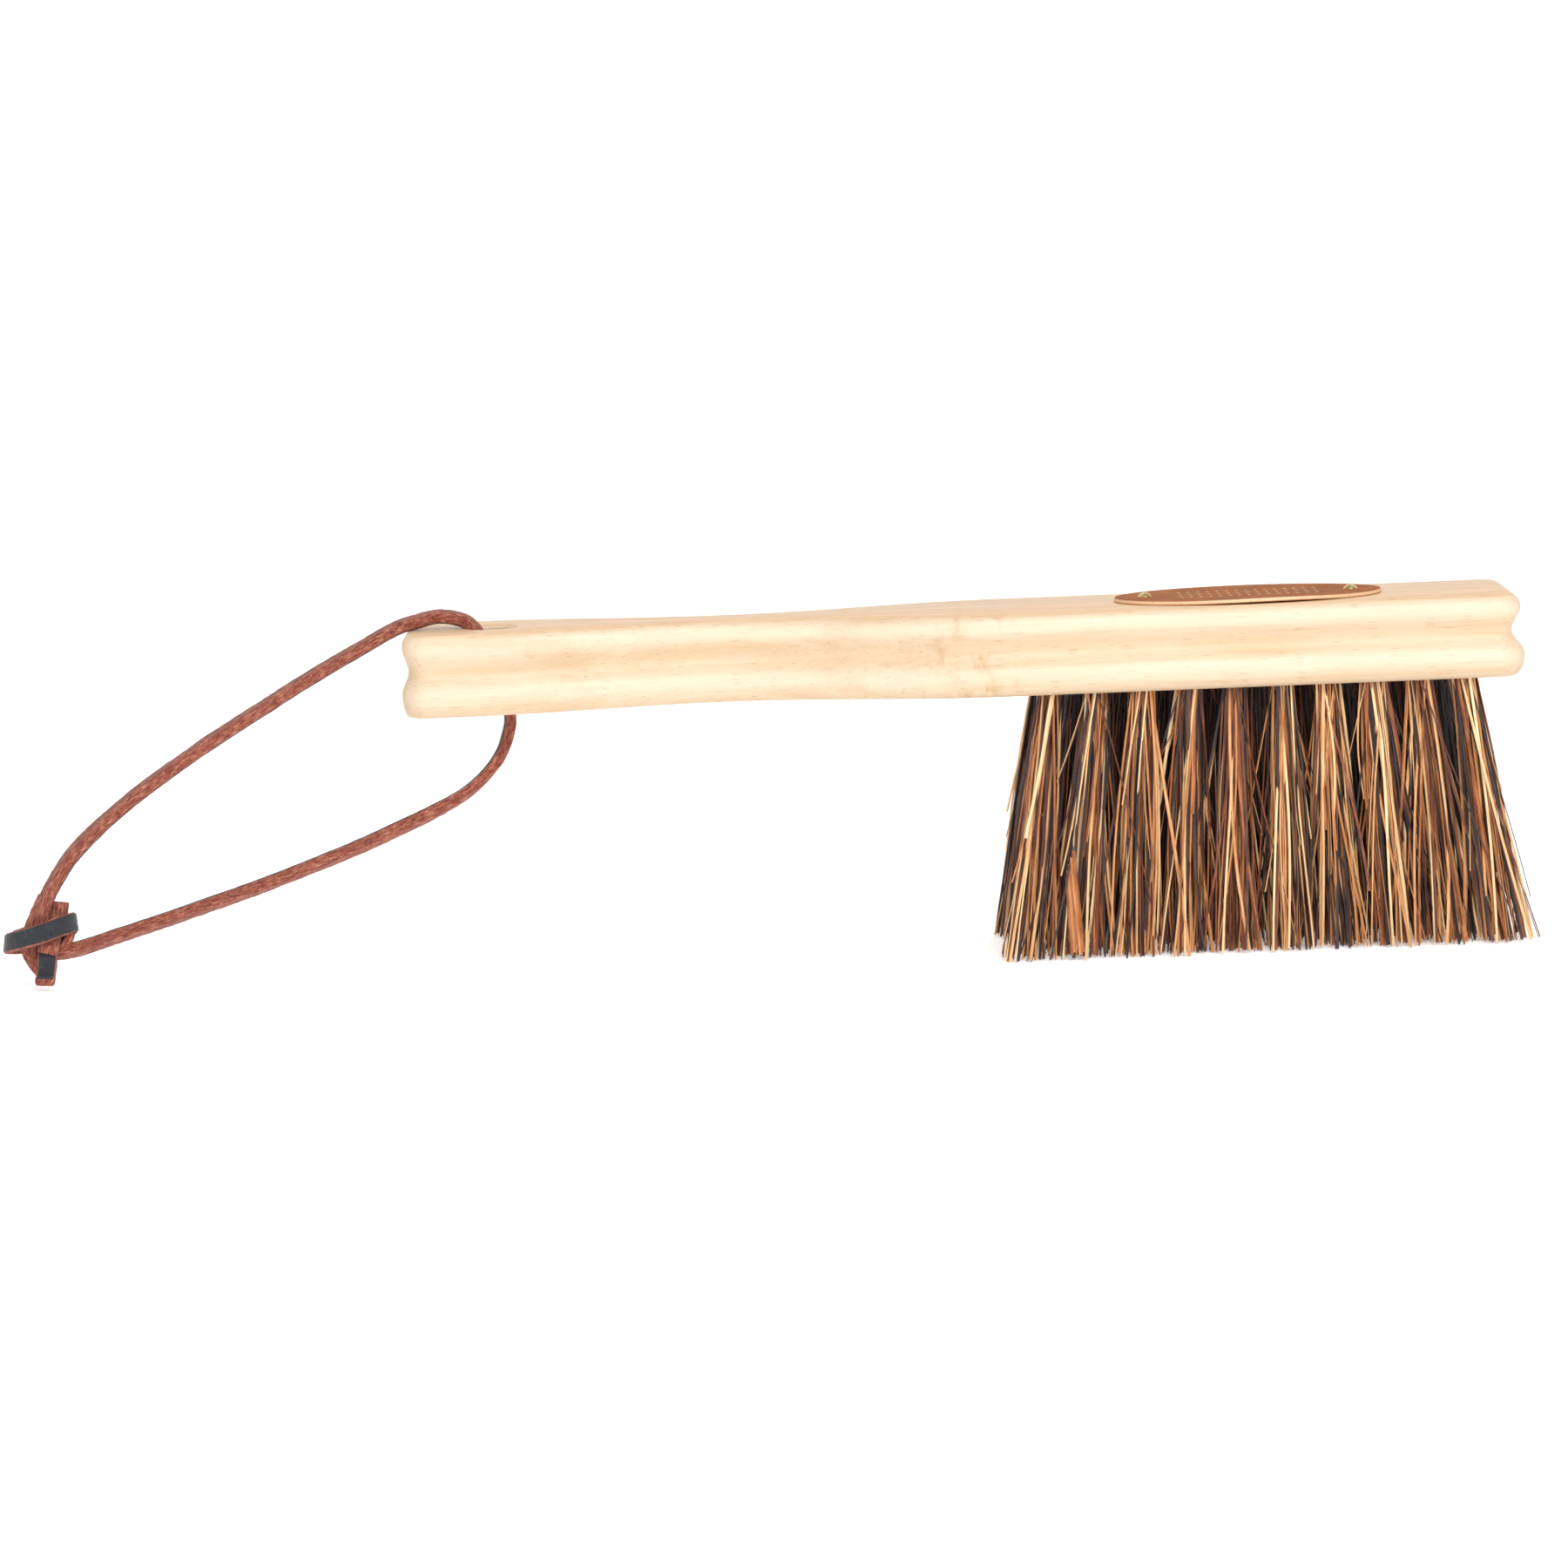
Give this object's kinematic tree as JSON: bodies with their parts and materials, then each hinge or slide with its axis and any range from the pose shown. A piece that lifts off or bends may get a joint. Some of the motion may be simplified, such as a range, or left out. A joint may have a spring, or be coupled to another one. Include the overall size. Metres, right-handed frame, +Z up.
{
  "type": "hand brush",
  "caption": "Hand brush: a waisted wooden stock with a moulded edge, leaning tufts of stiff plant fibre, a pinned oval leather label and a knotted leather lace to hang it by.",
  "frame": {"origin": "on the surface that the fibre tips stand on, under the middle of the brush without its lace", "axes": "+X from the butt to the head, +Z up through the stock, +Y across it, away from the side that faces the reader when the head is on the right"},
  "size_m": [0.4115, 0.0558, 0.0979],
  "materials": {
    "beech": "sanded and oiled, satin",
    "plant_fibre": "stiff brown palm fibre, satin",
    "anchor_steel": "flat drawn wire",
    "label_leather": "vegetable-tanned, smooth, satin",
    "pin_brass": "polished",
    "lace_leather": "cut lace, brown flesh side and black grain side"
  },
  "bodies": {
    "root": {"stock": "beech", "tuft_front_1": "plant_fibre", "tuft_front_2": "plant_fibre", "tuft_front_3": "plant_fibre", "tuft_front_4": "plant_fibre", "tuft_front_5": "plant_fibre", "tuft_front_6": "plant_fibre", "tuft_front_7": "plant_fibre", "tuft_front_8": "plant_fibre", "tuft_front_9": "plant_fibre", "tuft_front_10": "plant_fibre", "tuft_front_inner_1": "plant_fibre", "tuft_front_inner_2": "plant_fibre", "tuft_front_inner_3": "plant_fibre", "tuft_front_inner_4": "plant_fibre", "tuft_front_inner_5": "plant_fibre", "tuft_front_inner_6": "plant_fibre", "tuft_front_inner_7": "plant_fibre", "tuft_front_inner_8": "plant_fibre", "tuft_front_inner_9": "plant_fibre", "tuft_back_inner_1": "plant_fibre", "tuft_back_inner_2": "plant_fibre", "tuft_back_inner_3": "plant_fibre", "tuft_back_inner_4": "plant_fibre", "tuft_back_inner_5": "plant_fibre", "tuft_back_inner_6": "plant_fibre", "tuft_back_inner_7": "plant_fibre", "tuft_back_inner_8": "plant_fibre", "tuft_back_inner_9": "plant_fibre", "tuft_back_1": "plant_fibre", "tuft_back_2": "plant_fibre", "tuft_back_3": "plant_fibre", "tuft_back_4": "plant_fibre", "tuft_back_5": "plant_fibre", "tuft_back_6": "plant_fibre", "tuft_back_7": "plant_fibre", "tuft_back_8": "plant_fibre", "tuft_back_9": "plant_fibre", "tuft_back_10": "plant_fibre", "tuft_anchors": "anchor_steel", "label": "label_leather", "label_pin_butt": "pin_brass", "label_pin_head": "pin_brass", "lace_upper": "lace_leather", "lace_lower": "lace_leather", "lace_knot": "lace_leather"}
  },
  "joints": []
}
